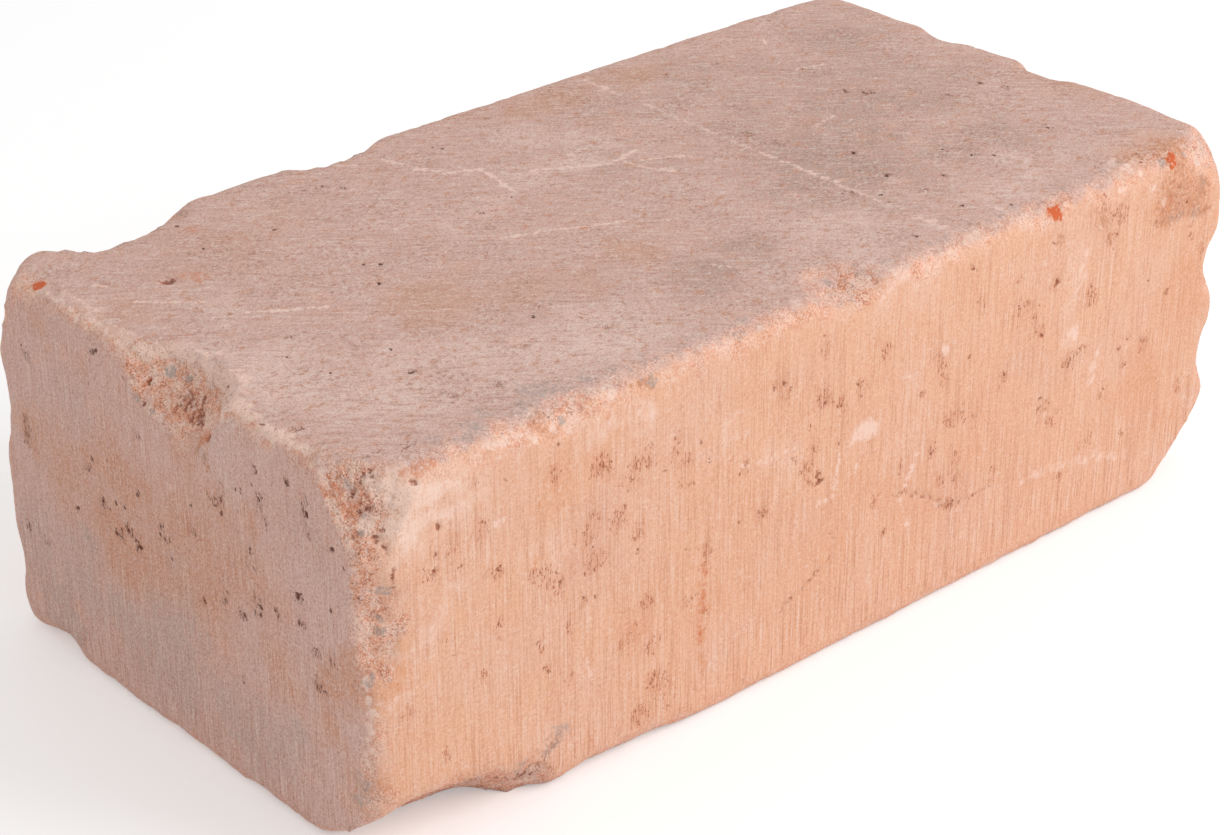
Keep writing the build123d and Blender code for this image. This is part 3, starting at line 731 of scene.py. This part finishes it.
def makeBlock():
    dabs = makeDabs()
    bm = makeGrid(dabs)
    layers = {name: bm.verts.layers.float.new(name) for name in paintLayers}
    bm.verts.ensure_lookup_table()
    sunk = layDabs(bm, layers, dabs)
    for vert in bm.verts:
        broken = paintVertex(vert, layers)
        sinkVertex(vert, layers, broken, sunk[vert.index])
    bmesh.ops.recalc_face_normals(bm, faces=bm.faces)
    mesh = bpy.data.meshes.new("wallBlock")
    bm.to_mesh(mesh)
    bm.free()
    mesh.shade_smooth()
    piece = bpy.data.objects.new("wallBlock", mesh)
    bpy.context.scene.collection.objects.link(piece)
    mesh.calc_loop_triangles()
    print("block shaped,", len(mesh.loop_triangles), "triangles")
    return piece


def linear(hexColour):
    parts = [int(hexColour[i:i + 2], 16) / 255 for i in (1, 3, 5)]
    return [p / 12.92 if p <= 0.04045 else ((p + 0.055) / 1.055) ** 2.4 for p in parts] + [1.0]


def addNode(tree, kind, inputs, out=0, **settings):
    node = tree.nodes.new("ShaderNode" + kind)
    for name, value in settings.items():
        setattr(node, name, value)
    for name, value in inputs.items():
        if isinstance(value, bpy.types.NodeSocket):
            tree.links.new(value, node.inputs[name])
        else:
            node.inputs[name].default_value = value
    return node.outputs[out]


# Coloured concrete, pressed nearly dry in a steel mould and then tumbled: a matt, sandy skin with drag
# lines up the sides, pale powder on the wear and grit in the breaks
concrete = {
    "skins": {  # colours of the plain skin and of its parts, by kind of face
        "side": {
            "plain": "#f1b897", "blotch": "#f0ba9d",
            "tan": "#e9a77f", "cool": "#e7b197", "pale": "#f9ceb6",
        },
        "end": {
            "plain": "#e4b6a7", "blotch": "#e3b9ac",
            "tan": "#dda184", "cool": "#d3b2a6", "pale": "#e9ccc0",
        },
        "bed": {
            "plain": "#e0b6a8", "blotch": "#deb5a8",
            "tan": "#d5a289", "cool": "#c29f92", "pale": "#f1cdc0",
        },
    },
    "patterns": {  # size in mm along each axis, turn about the upright in degrees, detail and roughness
        "drag": ((0.42, 0.42, 14.0), 0, 2, 0.6),  # coarser than the real lines, so that they show
        "sand": ((0.7, 0.7, 0.7), 0, 2, 0.75),
        "grit": ((0.42, 0.42, 0.42), 0, 1, 0.6),  # the same for fine sand
        "clod": ((3.0, 2.4, 2.4), 0, 2, 0.7),
        "crumb": ((1.3, 1.3, 1.7), 0, 3, 0.7),
        "scribble": ((0.8, 0.8, 2.8), 0, 2, 0.65),
        "streak": ((6.0, 0.9, 0.9), -40, 1, 0.5),
    },
    # coats of colour as (pattern or layer, bare at, full at, only on, share, colour)
    "skinCoats": [
        ("drag", 0.50, 0.68, "dragged", 0.72, "#c88666"),
        ("drag", 0.48, 0.30, "dragged", 0.68, "#fbdfcf"),
        ("drag", 0.54, 0.66, "pitting", 0.35, "#b9775a"),
        ("streak", 0.56, 0.72, "bed", 0.48, "#f2d6ca"),
        ("streak", 0.44, 0.28, "bed", 0.36, "#b07c66"),
        ("clod", 0.60, 0.72, "bed", 0.60, "#efd5ca"),
        ("clod", 0.43, 0.30, "bed", 0.60, "#d08e6a"),
        ("clod", 0.64, 0.76, "side", 0.45, "#fbdccd"),
        ("clod", 0.38, 0.26, "side", 0.35, "#dd946d"),
        ("clod", 0.38, 0.26, "end", 0.35, "#c08a74"),
        ("sand", 0.52, 0.72, "side", 0.32, "#d08663"),
        ("sand", 0.48, 0.28, "side", 0.28, "#fde2d2"),
        ("sand", 0.52, 0.72, "end", 0.48, "#a4705b"),
        ("sand", 0.48, 0.28, "end", 0.52, "#f6e1d8"),
        ("grit", 0.54, 0.72, "side", 0.24, "#c98161"),
        ("grit", 0.46, 0.28, "side", 0.24, "#ffe6d8"),
        ("grit", 0.54, 0.72, "end", 0.32, "#9b6753"),
        ("grit", 0.46, 0.28, "end", 0.32, "#f6e0d7"),
        ("sand", 0.51, 0.70, "bed", 0.36, "#a87761"),
        ("sand", 0.48, 0.30, "bed", 0.34, "#f3ddd3"),
        ("grit", 0.54, 0.72, "bed", 0.38, "#9b6b57"),
        ("grit", 0.46, 0.28, "bed", 0.34, "#f6e1d8"),
        ("crumb", 0.55, 0.68, "flaky", 0.60, "#ac775f"),
        ("crumb", 0.45, 0.32, "flaky", 0.55, "#f3ddd3"),
    ],
    "breakColour": "#ffba9b",
    "breakCoats": [
        ("mottle", 0.4, 0.9, "all", 0.60, "#ffdbc8"),
        ("mottle", 0.3, 0.0, "all", 0.40, "#cf7d57"),
        ("ash", 0.1, 0.9, "all", 0.35, "#e6d0c5"),
        ("crumb", 0.58, 0.72, "all", 0.52, "#9c563b"),
        ("crumb", 0.43, 0.30, "all", 0.50, "#ffdecd"),
        ("sand", 0.54, 0.70, "all", 0.40, "#ab6448"),
        ("sand", 0.48, 0.34, "all", 0.50, "#ffe2d2"),
        ("grit", 0.54, 0.66, "all", 0.48, "#8f4d34"),
        ("grit", 0.46, 0.34, "all", 0.75, "#ffe4d5"),
    ],
    "markCoats": [
        ("pitting", 0.2, 1.0, "side", 0.18, "#d98f68"),
        ("pitting", 0.2, 1.0, "end", 0.20, "#b98571"),
        ("strokes", 0.06, 0.30, "side", 0.75, "#b2623c"),
        ("strokes", 0.06, 0.30, "end", 0.80, "#6e4234"),
        ("strokes", 0.08, 0.35, "bed", 0.70, "#9a6149"),
        ("strokes", 0.40, 0.80, "side", 0.50, "#7d3d24"),
        ("strokes", 0.35, 0.70, "end", 0.60, "#4a2a20"),
        ("strokes", 0.45, 0.80, "bed", 0.60, "#6d3f2d"),
        ("gritty", 0.1, 0.7, "all", 0.65, "#d39370"),
        ("crumb", 0.50, 0.64, "gritty", 0.60, "#bb7753"),
        ("sand", 0.48, 0.32, "gritty", 0.60, "#f8dccf"),
        ("grit", 0.54, 0.70, "gritty", 0.35, "#a5664b"),
        ("scuff", 0.14, 0.95, "all", 0.72, "#ffddce"),
        # near white at nearly full share: pale powder, and painted light on breaks turned from the lamp
        ("powderAndPaintedLight", 0.15, 0.90, "all", 0.90, "#ffdccb"),
        ("sand", 0.53, 0.70, "powderAndPaintedLight", 0.40, "#d7a087"),
        ("grit", 0.54, 0.68, "powderAndPaintedLight", 0.30, "#bd8168"),
        ("grey", 0.15, 0.85, "all", 0.60, "#ada09b"),
        ("rust", 0.15, 0.80, "all", 0.60, "#dc8a63"),
        ("rust", 0.90, 1.40, "all", 0.85, "#da5c22"),
        ("crackAndShade", 0.20, 0.90, "all", 0.75, "#8a4127"),
        # dark pit colours: the pits' own dirt, with painted shade inside them
        ("hole", 0.15, 0.80, "side", 0.65, "#94482b"),
        ("hole", 0.10, 0.70, "end", 0.80, "#5c2a1b"),
        ("hole", 0.10, 0.60, "bed", 0.85, "#54291a"),
    ],
    "frayed": ("scuff", "powderAndPaintedLight", "gritty", "grey", "rust", "crackAndShade", "hole", "broken"),
    "fray": {"crumb": 3.2, "sand": 2.24},
    "frayLevel": -1.72,
    "breakEdge": (0.3, 0.7),
    "strokeWidth": (0.04, 0.01),  # bare and full, from the middle of the scribble
    "strokePull": {"pitting": 0.34, "flaky": 0.10},  # parts that draw the strokes
    "strokeSpan": (0.70, 0.88),
    "toneSpan": (0.35, 0.65),  # clods make the tones uneven
    "toneSwing": (0.5, 1.3),
    "wornShare": 0.7,
    "patternShift": 0.37,  # keeps the patterns apart
    "noiseMiddle": 0.5,
    # relief too fine for the mesh as (pattern, only on, depth in mm)
    "relief": [
        ("drag", "dragged", 0.10),
        ("sand", "all", 0.10),
        ("sand", "bed", 0.16),
        ("clod", "bed", 0.30),
        ("crumb", "worn", 0.25),
        ("crumb", "flaky", 0.45),
        ("crumb", "broken", 0.60),
        ("sand", "broken", 0.28),
    ],
    "roughness": 0.92,
    "ior": 1.5,
}


def layCoats(tree, values, colour, coats):
    for source, bare, full, where, share, tint in coats:
        span = {"Value": values[source], "From Min": bare, "From Max": full, "To Max": share}
        cover = addNode(tree, "MapRange", span, interpolation_type="SMOOTHSTEP")
        cover = addNode(tree, "Math", {0: cover, 1: values[where]}, operation="MULTIPLY")
        colour = addNode(tree, "Mix", {0: cover, 6: colour, 7: linear(tint)}, out=2, data_type="RGBA")
    return colour


def concreteMaterial():
    material = bpy.data.materials.new("tumbledPressedConcrete")
    material.use_nodes = True
    tree = material.node_tree
    shader = tree.nodes["Principled BSDF"]
    place = addNode(tree, "TexCoord", {}, out="Object")

    values = {"all": 1.0}
    for name in paintLayers:
        if name != "smooth":  # it only shapes the mesh
            values[name] = addNode(tree, "Attribute", {}, out="Fac", attribute_name=name)
    for number, (name, (size, turn, detail, roughness)) in enumerate(concrete["patterns"].items()):
        fit = {
            "Vector": place,
            "Location": (concrete["patternShift"] * number,) * 3,
            "Rotation": (0, 0, math.radians(turn)),
            "Scale": [side * mm for side in size],
        }
        scaled = addNode(tree, "Mapping", fit, vector_type="TEXTURE")
        grain = {"Vector": scaled, "Scale": 1.0, "Detail": detail, "Roughness": roughness}
        values[name] = addNode(tree, "TexNoise", grain)

    # marks get ragged edges
    fray = concrete["frayLevel"]
    for name, share in concrete["fray"].items():
        fray = addNode(tree, "Math", {0: values[name], 1: share, 2: fray}, operation="MULTIPLY_ADD")
    for name in concrete["frayed"]:
        values[name] = addNode(tree, "Math", {0: values[name], 1: fray}, operation="MULTIPLY")
    bare, full = concrete["breakEdge"]
    edge = {"Value": values["broken"], "From Min": bare, "From Max": full}
    values["broken"] = addNode(tree, "MapRange", edge)

    # fine pits are broken strokes where the clusters are
    middle = concrete["noiseMiddle"]
    stroke = addNode(tree, "Math", {0: values["scribble"], 1: middle}, operation="SUBTRACT")
    stroke = addNode(tree, "Math", {0: stroke}, operation="ABSOLUTE")
    bare, full = concrete["strokeWidth"]
    stroke = addNode(tree, "MapRange", {"Value": stroke, "From Min": bare, "From Max": full})
    near = values["crumb"]
    for name, pull in concrete["strokePull"].items():
        near = addNode(tree, "Math", {0: values[name], 1: pull, 2: near}, operation="MULTIPLY_ADD")
    bare, full = concrete["strokeSpan"]
    near = addNode(tree, "MapRange", {"Value": near, "From Min": bare, "From Max": full})
    values["strokes"] = addNode(tree, "Math", {0: stroke, 1: near}, operation="MULTIPLY")

    bare, full = concrete["toneSpan"]
    least, most = concrete["toneSwing"]
    swing = {"Value": values["clod"], "From Min": bare, "From Max": full, "To Min": least, "To Max": most}
    uneven = addNode(tree, "MapRange", swing)
    for tone in tones:
        values[tone] = addNode(tree, "Math", {0: values[tone], 1: uneven}, operation="MULTIPLY")
    skins = {}
    for kind, tints in concrete["skins"].items():
        skins[kind] = linear(tints["plain"])
        for tone in ("blotch", *tones):
            blend = {0: values[tone], 6: skins[kind], 7: linear(tints[tone])}
            skins[kind] = addNode(tree, "Mix", blend, out=2, data_type="RGBA")
    colour = skins["side"]
    for kind in ("end", "bed"):
        colour = addNode(tree, "Mix", {0: values[kind], 6: colour, 7: skins[kind]}, out=2, data_type="RGBA")
    colour = layCoats(tree, values, colour, concrete["skinCoats"])
    fracture = layCoats(tree, values, linear(concrete["breakColour"]), concrete["breakCoats"])
    shown = addNode(tree, "Math", {0: values["worn"], 1: concrete["wornShare"]}, operation="MULTIPLY")
    shown = addNode(tree, "Math", {0: shown, 1: values["broken"]}, operation="MAXIMUM")
    colour = addNode(tree, "Mix", {0: shown, 6: colour, 7: fracture}, out=2, data_type="RGBA")
    colour = layCoats(tree, values, colour, concrete["markCoats"])

    height = 0.0
    for pattern, where, depth in concrete["relief"]:
        part = addNode(tree, "Math", {0: values[pattern], 1: middle}, operation="SUBTRACT")
        part = addNode(tree, "Math", {0: part, 1: values[where]}, operation="MULTIPLY")
        height = addNode(tree, "Math", {0: part, 1: depth, 2: height}, operation="MULTIPLY_ADD")
    bump = addNode(tree, "Bump", {"Height": height, "Distance": mm, "Strength": 1.0})
    tree.links.new(bump, shader.inputs["Normal"])
    tree.links.new(colour, shader.inputs["Base Color"])
    shader.inputs["Roughness"].default_value = concrete["roughness"]
    shader.inputs["IOR"].default_value = concrete["ior"]
    return material


wallBlock = makeBlock()
wallBlock.data.materials.append(concreteMaterial())
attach(wallBlock, "root")
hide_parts("wall_block")
print("concrete finished")

# The studio: pale floor, one large soft lamp and an even surround
studio = {
    "floorSize": 6.0,  # sizes and distances in metres
    "floorSquares": 8,
    "floorColour": "#f4f4f4",
    "floorLift": 0.3,  # brings the floor near white in the picture only
    "surround": 0.62,
    "lampWay": (0.42, -0.66, 0.62),
    "lampDistance": 1.6,
    "lampSize": 0.9,
    "lampPower": 10.0,
}


def makeStudio():
    bm = bmesh.new()
    squares = studio["floorSquares"]
    bmesh.ops.create_grid(bm, x_segments=squares, y_segments=squares, size=studio["floorSize"] / 2)
    mesh = bpy.data.meshes.new("floor")
    bm.to_mesh(mesh)
    bm.free()
    floor = bpy.data.objects.new("floor", mesh)
    bpy.context.scene.collection.objects.link(floor)
    material = bpy.data.materials.new("paleFloorPaper")
    material.use_nodes = True
    tree = material.node_tree
    tree.nodes.remove(tree.nodes["Principled BSDF"])
    lift = 0.0
    for ray in ("Is Camera Ray", "Is Glossy Ray", "Is Transmission Ray"):
        seen = addNode(tree, "LightPath", {}, out=ray)
        lift = addNode(tree, "Math", {0: seen, 1: studio["floorLift"], 2: lift}, operation="MULTIPLY_ADD")
    paper = addNode(tree, "BsdfDiffuse", {"Color": linear(studio["floorColour"])})
    glow = addNode(tree, "Emission", {"Strength": lift})
    both = addNode(tree, "AddShader", {0: paper, 1: glow})
    tree.links.new(both, tree.nodes["Material Output"].inputs["Surface"])
    mesh.materials.append(material)

    world = bpy.data.worlds.new("studio")
    bpy.context.scene.world = world
    world.use_nodes = True
    world.node_tree.nodes["Background"].inputs["Color"].default_value = (1, 1, 1, 1)
    world.node_tree.nodes["Background"].inputs["Strength"].default_value = studio["surround"]

    lamp = bpy.data.objects.new("softLamp", bpy.data.lights.new("softLamp", "AREA"))
    lamp.data.shape = "DISK"
    lamp.data.size = studio["lampSize"]
    lamp.data.energy = studio["lampPower"]
    way = Vector(studio["lampWay"]).normalized()
    lamp.location = boxCentre + way * studio["lampDistance"]
    lamp.rotation_euler = way.to_track_quat("Z", "Y").to_euler()
    bpy.context.scene.collection.objects.link(lamp)


# The camera, matched to the photograph of 1226 by 835 pixels
view = {
    "target": (-0.0085, -0.0002, 0.0391),
    "azimuth": -41.93,
    "elevation": 27.91,
    "distance": 0.7633,
    "lens": 86.36,  # mm
    "sensor": 36.0,  # mm
    "clipStart": 0.01,
}


def makeCamera():
    camera = bpy.data.objects.new("camera", bpy.data.cameras.new("camera"))
    camera.data.sensor_width = view["sensor"]
    camera.data.lens = view["lens"]
    camera.data.clip_start = view["clipStart"]
    turn, tilt = math.radians(view["azimuth"]), math.radians(view["elevation"])
    way = Vector((math.sin(turn) * math.cos(tilt), -math.cos(turn) * math.cos(tilt), math.sin(tilt)))
    camera.location = Vector(view["target"]) + way * view["distance"]
    camera.rotation_euler = way.to_track_quat("Z", "Y").to_euler()
    bpy.context.scene.collection.objects.link(camera)
    bpy.context.scene.camera = camera


makeStudio()
makeCamera()
bpy.context.scene.view_settings.view_transform = "Standard"
print("studio and camera set")
